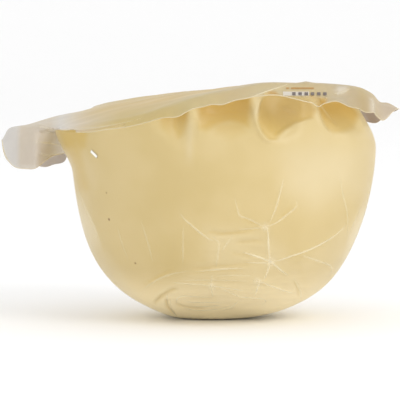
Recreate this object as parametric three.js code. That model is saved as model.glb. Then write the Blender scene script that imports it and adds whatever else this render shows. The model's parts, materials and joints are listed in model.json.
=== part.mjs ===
// A smoked scamorza in its clear vacuum pack, standing on the rounded bottom of the cheese.
// Millimetres, +Z up, +X along the long side of the pack, -Y towards the front.
import * as THREE from "three";
import { mergeVertices } from "three/addons/utils/BufferGeometryUtils.js";

const radians = THREE.MathUtils.degToRad;
const degrees = THREE.MathUtils.radToDeg;
const smooth = THREE.MathUtils.smoothstep;
const mix = THREE.MathUtils.lerp;

// Cheese: a bowl-shaped body that fills the pocket of the pack up to the seal.
const HALF_WIDTH = 54.5;
const HALF_DEPTH = 52;
const BOWL_HEIGHT = 75;
const BOWL_FULLNESS = 3.2;
const BOWL_SQUARENESS = 2.3;
const BOWL_SINK = 0.8; // the bowl is cut off this far up by the flat spot it rests on
// Sideways shift of the sections: under the belly, at the belly, at the shoulder and at the seal.
const FOOT_SHIFT = -1;
const BELLY_SHIFT = 1.8;
const SHOULDER_SHIFT = 3.3;
const SEAL_SHIFT = -4.4;
// Shares of the height where these are reached.
const REST_LEVEL = BOWL_SINK / BOWL_HEIGHT;
const FOOT_LEVEL = 0.07;
const BELLY_LEVEL = 0.2;
const SHOULDER_LEVEL = 0.65;
const NECK_LEVEL = 0.74;
const FLARE = 0.9; // the side widens a little towards the shoulder
const EDGE_LEVEL = 0.992; // rounding of the upper edge: its share of the height
const EDGE_INSET = 0.965; // and its share of the radius on top

// Pocket floor: a round, flattened patch low on the front.
const FLOOR_TILT = radians(24);
const FLOOR_MIDDLE = new THREE.Vector3(0, -27.5, 8.2);
const FLOOR_SOFTNESS = 1.5;

// Height of the seal above the table round the pack: a mean, two tilts, two saddle terms and
// four places where it is pulled up or down.
const SEAL_HEIGHT = 79.2;
const SEAL_RISE_RIGHT = 7.1;
const SEAL_RISE_FRONT = 1.5;
const SEAL_SADDLE = -2.5;
const SEAL_TWIST = -2.4;
const SEAL_PULLS = [
  { angle: 325, spread: 20, lift: -1.2 },
  { angle: 247, spread: 15, lift: -1.6 },
  { angle: 180, spread: 25, lift: 2.2 },
  { angle: 291, spread: 8, lift: 0.6 },
];
const LID_BULGE = 3.4; // the lid arches over the top of the cheese

// Film: lid and welded margin as one thin wavy sheet.
const FILM_THICKNESS = 0.6;
const FILM_GAP = 0.3;
const SEAL_MARGIN = 1.3; // the seal runs this far outside the cheese
const LIP_WIDTH = 7.5;
const LIP_FALL = 1.3;
const LIP_ARCH = 1.3;
const RIPPLE = 0.3;
const RIPPLE_WAVES = 9;
const FRONT_FALL = 2.4; // the lip is bent down further along the front
const FRONT_START = 0.45; // sine of the angle where that begins, and where it is reached
const FRONT_END = 0.8;
// The front right of the lip is wider and bent down towards the front.
const FLAP = { angle: 322, halfAngle: 31, ramp: 17, width: 2.5, fall: 6.4 };
// At both ends the margin is pulled out to a tab whose two sides hang down: its length, how blunt it
// is, how far its tip hangs below the seal, how long it stays level before it falls and how far its
// ridge dips on the way. Each side has the width left at its root, how far its middle and its root
// hang, and as shares of the half angle where the root ends and how soon it goes over into the lip.
const TABS = [
  {
    angle: 180,
    halfAngle: 21,
    length: 16.4,
    bluntness: 1.5,
    tipHang: 5.6,
    arch: 3.9,
    dip: 1.8,
    front: { waist: 0.8, hang: 16.2, rootHang: 10.6, rootEnd: 1, rootRamp: 0.3 },
    back: { waist: 6, hang: 17.2, rootHang: 18.6, rootEnd: 1.5, rootRamp: 0.9 },
  },
  {
    angle: 352,
    halfAngle: 22,
    length: 8.4,
    bluntness: 0.8,
    tipHang: 7.6,
    arch: -0.2,
    dip: 0,
    front: { waist: 7.5, hang: 9.3, rootHang: 7.6, rootEnd: 1, rootRamp: 0.3 },
    back: { waist: 7, hang: 10.2, rootHang: 12.3, rootEnd: 1.4, rootRamp: 0.3 },
  },
];
const DIP_START = 0.35; // shares of the length between which the dip is full
const DIP_END = 0.7;

// Scallops under the seal where the vacuum draws the side in: the middle and half width of each
// in degrees, the share of the height where it starts, the share of its width left there, how it
// leans, and its depth.
const FRONT_SCALLOPS = [
  { angle: 257.5, halfWidth: 6, foot: 0.8, taper: 0.5, lean: 0, depth: 3 },
  { angle: 276.5, halfWidth: 11, foot: 0.81, taper: 1, lean: 0, depth: 4.8 },
  { angle: 300, halfWidth: 12.5, foot: 0.76, taper: 0.3, lean: 36, depth: 6 },
  { angle: 329, halfWidth: 15, foot: 0.78, taper: 0.7, lean: 0, depth: 4 },
];
const BACK_SCALLOPS = 5;
const BACK_FIRST_ANGLE = 24;
const BACK_SPACING = 27;
const BACK_HALF_WIDTH = 12.5;
const BACK_FOOT = 0.8;
const BACK_TAPER = 0.6;
const BACK_LEAN = 11;
const BACK_DEPTH = 6.4;
const SCALLOP_RAMP = 0.12; // share of the height over which a scallop reaches its depth

// Facets
const CHEESE_AROUND = 108;
const FILM_AROUND = 144;
const SIDE_RINGS = 13;
const NECK_RINGS = 11;
const RING_CROWDING = 1.6; // above 1, the rings crowd towards the foot
const TOP_RINGS = 5;
const LID_RINGS = 4;
const MARGIN_RINGS = 5;

const CHEESE_COLOUR = 0xe3cd9a;
const FILM_COLOUR = 0xcfc3a8;

// Left alone above zero, exactly zero well below it, and turned softly between.
function pressed(value, softness) {
  if (value >= softness) return value;
  if (value <= -softness) return 0;
  return (value + softness) ** 2 / (4 * softness);
}

// Signed difference in degrees between an angle in radians and one in degrees.
function turn(angle, from) {
  return THREE.MathUtils.euclideanModulo(degrees(angle) - from + 180, 360) - 180;
}

function scallops() {
  const list = [...FRONT_SCALLOPS];
  for (let i = 0; i < BACK_SCALLOPS; i++) {
    list.push({
      angle: BACK_FIRST_ANGLE + i * BACK_SPACING,
      halfWidth: BACK_HALF_WIDTH - (i % 2) * 2,
      foot: BACK_FOOT,
      taper: BACK_TAPER,
      lean: i % 2 ? BACK_LEAN : -BACK_LEAN,
      depth: BACK_DEPTH * (1 - i / (BACK_SCALLOPS + 3)),
    });
  }
  return list;
}
const SCALLOPS = scallops();

// How far the side is drawn in at an angle and a share of the height.
function drawnIn(angle, level) {
  let depth = 0;
  for (const { angle: middle, halfWidth, foot, taper, lean, depth: full } of SCALLOPS) {
    const width = halfWidth * mix(taper, 1, smooth(level, foot, 1));
    const across = turn(angle, middle - lean * (1 - level)) / width;
    if (Math.abs(across) >= 1) continue;
    depth += full * (1 - across ** 4) ** 2 * smooth(level, foot, foot + SCALLOP_RAMP);
  }
  return depth;
}

// Height of the film over the cheese: reach is 0 on the axis and 1 at the seal.
function lidHeight(reach, angle) {
  let height = SEAL_HEIGHT + LID_BULGE * (1 - reach ** 2);
  height += reach * (SEAL_RISE_RIGHT * Math.cos(angle) - SEAL_RISE_FRONT * Math.sin(angle));
  height += reach ** 2 * (SEAL_SADDLE * Math.cos(2 * angle) + SEAL_TWIST * Math.sin(2 * angle));
  for (const pull of SEAL_PULLS) {
    height += reach ** 3 * pull.lift * Math.exp(-((turn(angle, pull.angle) / pull.spread) ** 2));
  }
  return height;
}

// The same for a point given by its plan coordinates.
function lidHeightAt(x, y) {
  const across = (x - SEAL_SHIFT) / (HALF_WIDTH + SEAL_MARGIN);
  const along = y / (HALF_DEPTH + SEAL_MARGIN);
  return lidHeight(Math.min(1, Math.hypot(across, along)), Math.atan2(along, across));
}

// Width of the margin outside the seal, how far its cut edge lies below the seal, the power of the
// arch between the two and the dip on the way.
function margin(angle) {
  const fromFlap = Math.abs(turn(angle, FLAP.angle));
  const flap = 1 - smooth(fromFlap, FLAP.halfAngle - FLAP.ramp, FLAP.halfAngle);
  let width = LIP_WIDTH + FLAP.width * flap;
  const bent = FRONT_FALL * smooth(-Math.sin(angle), FRONT_START, FRONT_END) * (1 - flap);
  let fall = LIP_FALL + bent + FLAP.fall * flap + RIPPLE * Math.sin(RIPPLE_WAVES * angle);
  let arch = LIP_ARCH;
  let dip = 0;
  for (const tab of TABS) {
    const aside = turn(angle, tab.angle);
    const side = aside * Math.cos(radians(tab.angle)) < 0 ? tab.front : tab.back;
    const share = Math.abs(aside) / tab.halfAngle;
    const inside = Math.min(1, share);
    const hang =
      inside < 0.5
        ? mix(tab.tipHang, side.hang, 1 - (1 - 2 * inside) ** 2)
        : mix(side.hang, side.rootHang, (2 * inside - 1) ** 1.5);
    const waist = mix(tab.front.waist, side.waist, inside);
    const pulled = tab.length * (1 - inside ** tab.bluntness);
    width = mix(waist, width, smooth(share, 1, 2)) + pulled;
    fall = mix(hang, fall, smooth(share, side.rootEnd, side.rootEnd + side.rootRamp));
    arch += tab.arch * (1 - inside);
    dip += tab.dip * (1 - inside);
  }
  return { width, fall, arch, dip };
}

// A lathe whose points are carried from (angle, radius, level) to their place on the part.
function shapedLathe(profile, around, place) {
  const geometry = new THREE.LatheGeometry(profile, around);
  geometry.rotateX(Math.PI / 2);
  geometry.deleteAttribute("normal");
  geometry.deleteAttribute("uv");
  const position = geometry.getAttribute("position");
  for (let i = 0; i < position.count; i++) {
    const x = position.getX(i);
    const y = position.getY(i);
    const made = place(Math.atan2(y, x), Math.hypot(x, y), position.getZ(i));
    position.setXYZ(i, made.x, made.y, made.z);
  }
  const closed = mergeVertices(geometry, 1e-3);
  closed.computeVertexNormals();
  return closed;
}

// Up the side of the cheese, round its upper edge and in across the top.
function cheeseProfile() {
  const bowl = (level) => (1 - (1 - level) ** BOWL_FULLNESS) ** (1 / BOWL_SQUARENESS);
  const profile = [new THREE.Vector2(0, 0)];
  for (let i = 0; i < SIDE_RINGS; i++) {
    const level = mix(REST_LEVEL, NECK_LEVEL, (i / SIDE_RINGS) ** RING_CROWDING);
    profile.push(new THREE.Vector2(bowl(level), level));
  }
  for (let i = 0; i < NECK_RINGS; i++) {
    const level = mix(NECK_LEVEL, 1, i / NECK_RINGS);
    profile.push(new THREE.Vector2(bowl(level), level));
  }
  profile.push(new THREE.Vector2(EDGE_LEVEL, EDGE_LEVEL));
  for (let i = TOP_RINGS; i >= 0; i--) {
    profile.push(new THREE.Vector2((EDGE_INSET * i) / TOP_RINGS, 1));
  }
  return profile;
}

function cheesePoint(angle, radius, level) {
  let lean = mix(FOOT_SHIFT, BELLY_SHIFT, smooth(level, 0, FOOT_LEVEL));
  lean = mix(lean, SHOULDER_SHIFT, smooth(level, BELLY_LEVEL, SHOULDER_LEVEL));
  lean = mix(lean, SEAL_SHIFT, smooth(level, NECK_LEVEL, 1));
  const flare = FLARE * (smooth(level, BELLY_LEVEL, NECK_LEVEL) - smooth(level, NECK_LEVEL, 1));
  const inward = (drawnIn(angle, level) - flare) * radius ** 3;
  const point = new THREE.Vector3(
    lean + (HALF_WIDTH * radius - inward) * Math.cos(angle),
    (HALF_DEPTH * radius - inward) * Math.sin(angle),
    0,
  );
  const top = lidHeightAt(point.x, point.y) - FILM_THICKNESS / 2 - FILM_GAP;
  if (level === 1) return point.setZ(top);
  const seal = lidHeight(1, angle) - FILM_THICKNESS / 2 - FILM_GAP;
  const stretch = (seal + BOWL_SINK - BOWL_HEIGHT) * smooth(level, BELLY_LEVEL, 1);
  point.setZ(Math.max(0, level * BOWL_HEIGHT - BOWL_SINK) + stretch);
  if (point.z > 1e-3) pressFloor(point);
  return point.setZ(Math.min(top, point.z));
}

// Flattens what lies beyond the tilted plane of the pocket floor.
function pressFloor(point) {
  const inward = new THREE.Vector3(0, Math.sin(FLOOR_TILT), Math.cos(FLOOR_TILT));
  const height = point.clone().sub(FLOOR_MIDDLE).dot(inward);
  point.addScaledVector(inward, pressed(height, FLOOR_SOFTNESS) - height);
}

// Out along the underside of the film and back along its top.
// The radius is 1 at the seal and 2 at the cut edge; the level is -1 below and 1 above.
function filmProfile() {
  const radii = [];
  for (let i = 0; i < LID_RINGS; i++) radii.push(i / LID_RINGS);
  for (let i = 0; i <= MARGIN_RINGS; i++) radii.push(1 + i / MARGIN_RINGS);
  const below = radii.map((radius) => new THREE.Vector2(radius, -1));
  const above = radii.map((radius) => new THREE.Vector2(radius, 1)).reverse();
  return [...below, ...above];
}

// Middle of the film's thickness.
function filmMiddle(angle, radius) {
  const reach = Math.min(radius, 1);
  const point = new THREE.Vector3(
    SEAL_SHIFT + (HALF_WIDTH + SEAL_MARGIN) * reach * Math.cos(angle),
    (HALF_DEPTH + SEAL_MARGIN) * reach * Math.sin(angle),
    lidHeight(reach, angle),
  );
  if (radius > 1) {
    const { width, fall, arch, dip } = margin(angle);
    const share = radius - 1;
    const dipped = smooth(share, 0, DIP_START) * (1 - smooth(share, DIP_END, 1));
    point.x += width * share * Math.cos(angle);
    point.y += width * share * Math.sin(angle);
    point.z -= fall * share ** arch + dip * dipped;
  }
  return point;
}

function filmPoint(angle, radius, level) {
  const middle = filmMiddle(angle, radius);
  const step = 1e-3;
  const normal = new THREE.Vector3(0, 0, 1);
  if (radius > 0) {
    const outward = filmMiddle(angle, radius).sub(filmMiddle(angle, radius - step));
    const round = filmMiddle(angle + step, radius).sub(filmMiddle(angle - step, radius));
    normal.crossVectors(outward, round).normalize();
  }
  return middle.addScaledVector(normal, (level * FILM_THICKNESS) / 2);
}

function solid(name, geometry, colour, roughness) {
  const material = new THREE.MeshStandardMaterial({ color: colour, roughness, metalness: 0 });
  const mesh = new THREE.Mesh(geometry, material);
  mesh.name = name;
  return mesh;
}

const cheese = shapedLathe(cheeseProfile(), CHEESE_AROUND, cheesePoint);
const film = shapedLathe(filmProfile(), FILM_AROUND, filmPoint);
const pack = new THREE.Group();
pack.add(solid("scamorza", cheese, CHEESE_COLOUR, 0.45));
pack.add(solid("pack_film", film, FILM_COLOUR, 0.25));

// The origin is on the table, under the middle of the pack.
const box = new THREE.Box3().setFromObject(pack);
const middle = box.getCenter(new THREE.Vector3());
pack.children.forEach((mesh) => mesh.position.set(-middle.x, -middle.y, -box.min.z));

export default pack;
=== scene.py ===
# %% [markdown]
# # A smoked scamorza in its vacuum pack
# The object is a bowl-shaped cheese, drawn tight in clear film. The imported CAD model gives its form
# and its place; here it gets the film, the creases and the finish of the real one. Every Blender
# object is in metres and in the same frame as the CAD.

# %% Load the frame
import json
import math

import bpy
import numpy as np
from mathutils import Matrix, Vector, noise
from mathutils.bvhtree import BVHTree

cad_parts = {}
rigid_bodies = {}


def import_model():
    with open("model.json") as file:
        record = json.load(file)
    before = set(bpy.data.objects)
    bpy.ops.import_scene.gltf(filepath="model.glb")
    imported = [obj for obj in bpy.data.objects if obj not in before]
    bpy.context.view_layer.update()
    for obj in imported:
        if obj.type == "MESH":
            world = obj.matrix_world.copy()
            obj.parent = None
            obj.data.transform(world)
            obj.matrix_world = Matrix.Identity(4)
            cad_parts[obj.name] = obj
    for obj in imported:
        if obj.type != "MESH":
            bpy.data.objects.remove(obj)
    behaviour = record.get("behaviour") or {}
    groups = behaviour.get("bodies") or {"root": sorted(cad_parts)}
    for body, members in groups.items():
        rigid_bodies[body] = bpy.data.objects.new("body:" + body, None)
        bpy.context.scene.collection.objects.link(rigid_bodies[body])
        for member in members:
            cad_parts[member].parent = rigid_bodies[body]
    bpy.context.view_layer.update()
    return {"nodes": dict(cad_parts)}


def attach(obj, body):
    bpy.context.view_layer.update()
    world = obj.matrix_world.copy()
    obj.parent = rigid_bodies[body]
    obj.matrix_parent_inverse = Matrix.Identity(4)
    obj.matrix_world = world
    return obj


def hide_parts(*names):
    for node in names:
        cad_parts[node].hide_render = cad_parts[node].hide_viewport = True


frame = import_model()
MM = 0.001

# %% [markdown]
# ## Camera
# The photo was taken from the front and a little above, from far away, so that near and far edges
# have almost the same scale. A long lens does that. One helper goes with the camera: it says where
# points of the model lie in the picture, so that a fold seen there can be found on the mesh.

# %% Camera
PICTURE = 400
EYE_HEIGHT_ANGLE = math.radians(4)
EYE_DISTANCE = 1.2
EYE_TARGET = np.array((0, 0, 42.9 * MM))
PIXELS_PER_METRE = 2750
SENSOR = 36

back = np.array((0, -math.cos(EYE_HEIGHT_ANGLE), math.sin(EYE_HEIGHT_ANGLE)))
upward = np.array((0, math.sin(EYE_HEIGHT_ANGLE), math.cos(EYE_HEIGHT_ANGLE)))
eye = EYE_TARGET + EYE_DISTANCE * back
SPREAD = PIXELS_PER_METRE * EYE_DISTANCE

bpy.ops.object.camera_add(location=eye, rotation=(math.pi / 2 - EYE_HEIGHT_ANGLE, 0, 0))
camera = bpy.context.object
camera.data.sensor_width = SENSOR
camera.data.lens = SENSOR * SPREAD / PICTURE
camera.data.clip_end = 50
bpy.context.scene.camera = camera


def in_picture(points):
    """Where points of the model lie in the picture: pixels to the right and down."""
    ahead = points - eye
    depth = -ahead @ back
    across = PICTURE / 2 + SPREAD * ahead[:, 0] / depth
    down = PICTURE / 2 - SPREAD * (ahead @ upward) / depth
    return np.stack((across, down), axis=1)


print("lens", round(camera.data.lens), "mm")

# %% [markdown]
# ## Helpers for meshes
# A CAD node is made of loose triangles, so a copy is merged before it is shaped. Most of this object
# is soft, and its folds follow no straight tool, so after the modifiers its points are moved in code
# like a sculptor's brush strokes.

# %% Helpers for meshes
def select_only(piece):
    bpy.ops.object.select_all(action="DESELECT")
    piece.select_set(True)
    bpy.context.view_layer.objects.active = piece


def pick(piece, kind, chosen):
    """Go into edit mode with the chosen parts selected, and any others that their points enclose."""
    select_only(piece)
    bpy.ops.object.mode_set(mode="EDIT")
    bpy.ops.mesh.select_mode(type="VERT")
    bpy.ops.mesh.select_all(action="DESELECT")
    bpy.ops.object.mode_set(mode="OBJECT")
    parts = {"VERT": piece.data.vertices, "EDGE": piece.data.edges, "FACE": piece.data.polygons}[kind]
    parts.foreach_set("select", chosen)
    bpy.ops.object.mode_set(mode="EDIT")
    bpy.ops.mesh.select_mode(type=kind)


def copy_of_node(node, name):
    """A merged copy of a CAD node, in four-sided faces where it can be."""
    select_only(frame["nodes"][node])
    bpy.ops.object.duplicate()
    piece = bpy.context.object
    bpy.ops.object.parent_clear(type="CLEAR_KEEP_TRANSFORM")
    for key in list(piece.keys()):
        del piece[key]
    piece.name = name
    piece.data.name = name
    piece.data.materials.clear()
    bpy.ops.object.mode_set(mode="EDIT")
    bpy.ops.mesh.customdata_custom_splitnormals_clear()
    bpy.ops.mesh.select_all(action="SELECT")
    bpy.ops.mesh.remove_doubles(threshold=0.001 * MM)
    bpy.ops.mesh.tris_convert_to_quads(face_threshold=math.pi, shape_threshold=math.pi)
    bpy.ops.object.mode_set(mode="OBJECT")
    bpy.ops.object.shade_smooth()
    return piece


def apply_modifier(piece, kind, **settings):
    select_only(piece)
    modifier = piece.modifiers.new(kind.title(), kind)
    for key, value in settings.items():
        setattr(modifier, key, value)
    bpy.ops.object.modifier_apply(modifier=modifier.name)


def read(piece, what="co"):
    """Places or normals of a mesh's points, one row each."""
    values = np.empty(3 * len(piece.data.vertices), np.float32)
    if what == "co":
        piece.data.vertices.foreach_get("co", values)
    else:
        piece.data.vertex_normals.foreach_get("vector", values)
    return values.reshape(-1, 3).astype(float)


def move(piece, points):
    piece.data.vertices.foreach_set("co", points.astype(np.float32).ravel())
    piece.data.update()


def mark(piece, name, values):
    """Store one number for each point, for a material to read."""
    made = piece.data.attributes.new(name, "FLOAT", "POINT")
    made.data.foreach_set("value", np.clip(values, 0, 1).astype(np.float32))


def triangles(piece):
    piece.data.calc_loop_triangles()
    return len(piece.data.loop_triangles)


def ease(value, start, end):
    """0 before start, 1 after end, and a smooth step between."""
    share = np.clip((value - start) / (end - start), 0, 1)
    return share * share * (3 - 2 * share)


print("helpers ready for", len(frame["nodes"]), "nodes")

# %% [markdown]
# ## The film round the cheese
# The clinging film has the form of the CAD solid. A subdivided copy is fine enough to carry the
# small folds. The front has most of the creases towards the right, so its faces there are divided
# once more.

# %% Skin of film
FINE_FROM = 150
FINE_ABOVE = 2 * MM
FRONT_NORMAL = -0.2
skin = copy_of_node("scamorza", "film_skin")
apply_modifier(skin, "SUBSURF", levels=2, render_levels=2)
rest_plane = read(skin)[:, 2].min()

centres = np.array([face.center for face in skin.data.polygons])
fronts = np.array([face.normal.y for face in skin.data.polygons]) < FRONT_NORMAL
fine = fronts & (in_picture(centres)[:, 0] > FINE_FROM) & (centres[:, 2] > FINE_ABOVE)
pick(skin, "FACE", fine)
bpy.ops.mesh.subdivide(number_cuts=1, smoothness=0)
bpy.ops.object.mode_set(mode="OBJECT")
bpy.ops.object.shade_smooth()
print("skin", triangles(skin), "triangles")

# %% [markdown]
# ## Strokes
# A fold in the picture is a line with bends. The distance of every point of the mesh from that line,
# measured in the picture, gives the height of the fold there: a bell over the line that runs out at
# both ends. A hollow is an outline instead, with a soft ramp across its edge.

# %% Strokes
BELL_REACH = 4


def smooth_line(corners, step=2.0):
    """A smooth line through corners, as points about one step apart."""
    corners = np.array(corners, float)
    ends = np.vstack((2 * corners[0] - corners[1], corners, 2 * corners[-1] - corners[-2]))
    made = []
    for before, start, end, after in zip(ends, ends[1:], ends[2:], ends[3:]):
        count = max(2, int(np.linalg.norm(end - start) / step))
        for t in np.arange(count) / count:
            made.append(
                0.5 * (2 * start + (end - before) * t
                       + (2 * before - 5 * start + 4 * end - after) * t**2
                       + (3 * start - before - 3 * end + after) * t**3)
            )
    made.append(corners[-1])
    return np.array(made)


def from_line(spots, line):
    """Distance of each spot from a line of points, and the share along it of the nearest place."""
    nearest = np.full(len(spots), np.inf)
    share = np.zeros(len(spots))
    for i, (start, end) in enumerate(zip(line, line[1:])):
        leg = end - start
        t = np.clip((spots - start) @ leg / max(leg @ leg, 1e-9), 0, 1)
        distance = np.linalg.norm(spots - start - t[:, None] * leg, axis=1)
        closer = distance < nearest
        nearest[closer] = distance[closer]
        share[closer] = (i + t[closer]) / (len(line) - 1)
    return nearest, share


def fold(spots, corners, width, runout=0.25):
    """1 on the line, falling to 0 over the width beside it and towards both ends."""
    low = np.min(corners, axis=0) - BELL_REACH * width
    high = np.max(corners, axis=0) + BELL_REACH * width
    near = np.all((spots > low) & (spots < high), axis=1)
    bell = np.zeros(len(spots))
    distance, share = from_line(spots[near], smooth_line(corners))
    ends = ease(share, 0, runout) * ease(1 - share, 0, runout)
    bell[near] = np.exp(-((distance / width) ** 2)) * ends
    return bell


def inside(spots, corners, ramp):
    """1 inside an outline, 0 outside it, with a soft ramp across its edge."""
    corners = np.array(corners, float)
    closed = np.vstack((corners, corners[:1]))
    odd = np.zeros(len(spots), bool)
    for (x0, y0), (x1, y1) in zip(closed, closed[1:]):
        crosses = (y0 > spots[:, 1]) != (y1 > spots[:, 1])
        with np.errstate(divide="ignore", invalid="ignore"):
            at = x0 + (spots[:, 1] - y0) / (y1 - y0) * (x1 - x0)
        odd ^= crosses & (spots[:, 0] < at)
    distance = from_line(spots, closed)[0]
    return ease(np.where(odd, distance, -distance), -ramp, ramp)


print("a stroke through three corners has", len(smooth_line([(0, 0), (20, 4), (40, 0)])), "points")

# %% [markdown]
# ## Smooth ground for the strokes
# Under the seal the CAD has two flanks that are softer on the real cheese, so the mesh is smoothed
# there first. Then its points are read once, with their place in the picture and how far they face
# the viewer: strokes that are seen from the front leave the back alone.

# %% Smooth ground
SOFT_FLANKS = [
    [(199, 114), (253, 112), (254, 136), (226, 138), (200, 142)],
    [(178, 118), (198, 118), (198, 172), (182, 172)],
]
SMOOTHING_ROUNDS = 60
FACING = (0.03, 0.3)
for outline in SOFT_FLANKS:
    ahead = read(skin, "normal") @ back > 0
    pick(skin, "VERT", ahead & (inside(in_picture(read(skin)), outline, 1) > 0.5))
    bpy.ops.mesh.vertices_smooth(factor=0.5, repeat=SMOOTHING_ROUNDS)
    bpy.ops.object.mode_set(mode="OBJECT")
points = read(skin)
normals = read(skin, "normal")
spots = in_picture(points)
facing = ease(normals @ back, *FACING)
relief = np.zeros(len(points))
print("points that face the viewer", int((facing > 0.5).sum()))

# %% [markdown]
# ## Dents under the seal
# Where the vacuum has drawn the side in, the cheese has dents with raised rims between them. The CAD
# has the large hollows; the strokes here give each dent its own outline and its crisp rim. The same
# outlines colour the cheese later: amber, partly its own tone there and partly painted shade in the
# hollows, strongest at their top under the seal.

# %% Dents
DENTS = [
    # outline, soft edge, depth in mm, amber with painted shade at the top and at the bottom
    ([(60, 126), (87, 126), (86, 146), (77, 156), (66, 152)], 4, 0.2, 0.7, 0.5),
    # no dent here: a strip of painted shade along the left edge
    ([(58, 130), (74, 130), (81, 155), (89, 190), (76, 192), (64, 160)], 5, 0.0, 0.7, 0.5),
    ([(170, 108), (188, 102), (187, 121), (183, 133), (178, 137), (172, 127)], 4, 0.2, 1.0, 0.45),
    ([(158, 110), (172, 106), (174, 130), (168, 133), (162, 128)], 4, 0.0, 0.7, 0.3),
    ([(199, 98), (251, 88), (250.5, 108), (248, 126), (238, 123), (229, 121), (214, 126), (206, 130),
      (199, 128)], 5, 0.2, 1.0, 0.65),
    # no dent here: painted shade below the second dent
    ([(214, 122), (242, 120), (246, 132), (232, 140), (216, 135)], 5, 0.0, 0.3, 0.15),
    ([(268, 94), (310, 99), (316, 108), (313, 117), (297, 122), (284, 130), (276, 139), (270, 139),
      (263, 131), (259, 120), (259, 108), (263, 99)], 2.5, 0.4, 0.55, 0.6),
    ([(320, 98), (352, 101), (361, 113), (354, 127), (345, 131), (334, 132), (328, 129), (323, 119),
      (319, 109)], 4, 0.5, 1.0, 0.6),
]
RIMS = [
    ([(190, 100), (191, 130), (192, 150), (192, 168)], 5, 0.25),
    ([(268, 93), (260, 100), (255.5, 110), (256, 122), (261, 133.7), (269, 141), (278, 140)], 2.6, 0.6),
    ([(258, 80), (256, 94), (255, 104), (256, 120)], 4, 0.8),
    ([(277, 139.5), (283, 132), (297.5, 123.5), (315, 117.5)], 2.2, 0.3),
    ([(273, 139), (281, 131), (290, 124.5), (300, 120)], 1.8, 0.25),
    ([(314, 103), (318, 113), (321, 123), (327, 131), (333, 135)], 2.4, 0.5),
]
AMBER_FULL = 6
AMBER_GONE = 2
shade_in_hollows = np.zeros(len(points))
for outline, ramp, depth, top_share, low_share in DENTS:
    mask = inside(spots, outline, ramp)
    relief -= depth * mask
    ys = [y for x, y in outline]
    fallen = ease(spots[:, 1], min(ys) + AMBER_FULL, max(ys) - AMBER_GONE)
    shade_in_hollows = np.maximum(shade_in_hollows, mask * (top_share + (low_share - top_share) * fallen))
for corners, width, height in RIMS:
    relief += height * fold(spots, corners, width)
print("dents", len(DENTS), "rims", len(RIMS))

# %% [markdown]
# ## Creases and rings
# Lower down the film has sharp creases that run together like the legs of a star, and the bottom of
# the pack carries soft rings. Each crease has its own strength, which sets its height and later how
# milky the film is there. Valleys are the same strokes turned inwards and painted darker on the cheese
# as shade, and knots are the milky spots where creases meet.

# %% Creases and rings
CREASES = [
    (0.7, [(180, 213), (184, 218.5), (195, 228.3), (206.7, 237.5), (214, 241)]),
    (0.4, [(213, 236.5), (219, 243), (218.5, 250), (217.5, 258), (216, 267)]),
    (0.3, [(233, 235.5), (226.7, 244), (222, 251)]),
    (0.5, [(235, 198), (238, 211), (240.5, 216), (250, 219.5), (260, 225), (266, 227.5)]),
    (0.6, [(284, 178), (280, 193), (276, 208), (269, 224)]),
    (0.6, [(265, 227.5), (276.7, 222.5), (288, 214), (296, 207), (297, 200)]),
    (0.4, [(238, 229.5), (252, 228.5), (265, 227.5)]),
    (1.0, [(267, 227), (268.3, 236), (268.7, 248), (270, 262)]),
    (1.0, [(268, 262.5), (280, 260), (290, 256.5), (306.7, 250.8), (323, 243), (336.7, 234), (347, 224)]),
    (1.0, [(272, 262), (260, 257.5), (251, 254.5), (243, 252)]),
    (0.5, [(272, 263), (256.7, 262.7), (245, 262.5)]),
    (0.9, [(269, 261), (275, 265), (281.7, 270.8), (288, 275)]),
    (0.8, [(270, 261), (267.5, 271.7), (264, 280)]),
    (0.8, [(253, 280.5), (263, 282.5), (273, 286.7), (293, 293.5)]),
    (0.7, [(261, 279), (259, 284), (255, 296)]),
    (0.6, [(212, 275), (211.5, 285), (212.5, 297)]),
    (0.6, [(204, 285.5), (218, 286.7), (233, 289), (245, 291)]),
    (0.6, [(218, 286.5), (233, 294), (242, 297), (255, 298), (263, 299), (266, 301.7), (261, 305)]),
    (0.5, [(238, 301), (232, 307), (222, 311)]),
    (0.4, [(170, 299), (170.5, 305), (173, 311), (177, 316)]),
    (0.6, [(300, 254.5), (316.7, 260.5), (330, 265.5), (331.5, 271), (328, 277)]),
    (0.4, [(340.5, 178), (343, 195), (346.7, 210), (347.7, 225), (346.5, 240)]),
    (0.35, [(141, 220), (148, 243), (153, 263)]),
    (0.28, [(117, 225), (122, 243), (129, 261)]),
    (0.35, [(183.7, 225), (183, 243), (183, 265)]),
]
RINGS = [
    (0.7, [(196, 271.8), (206, 270.6), (217.5, 269.4), (230, 268.7), (243, 268.3)]),
    (0.4, [(143, 289), (157, 280), (170, 274.5), (179, 272.5), (189, 270.4)]),
    (0.5, [(167.5, 294), (167.2, 300), (168.7, 305), (172.5, 311), (177, 316.5)]),
    (0.6, [(176, 304), (177, 298.5), (183, 296), (195, 296.5), (212, 297.5)]),
    (0.4, [(294, 279), (298, 286), (300.5, 292), (301, 299)]),
    (0.55, [(180, 304), (187, 308.5), (200, 310.5), (218, 309), (229, 306.5), (236, 303)]),
    (0.3, [(180, 280.5), (205, 280), (232, 280.5), (250, 281)]),
    (0.45, [(172, 282.5), (186, 283.5), (200, 284.6), (208, 285.5)]),
    (0.45, [(184, 301.5), (200, 302.5), (222, 302)]),
    (0.35, [(188, 306), (204, 306.5), (222, 305)]),
    (0.3, [(215, 276), (235, 275.3), (252, 276)]),
]
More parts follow.
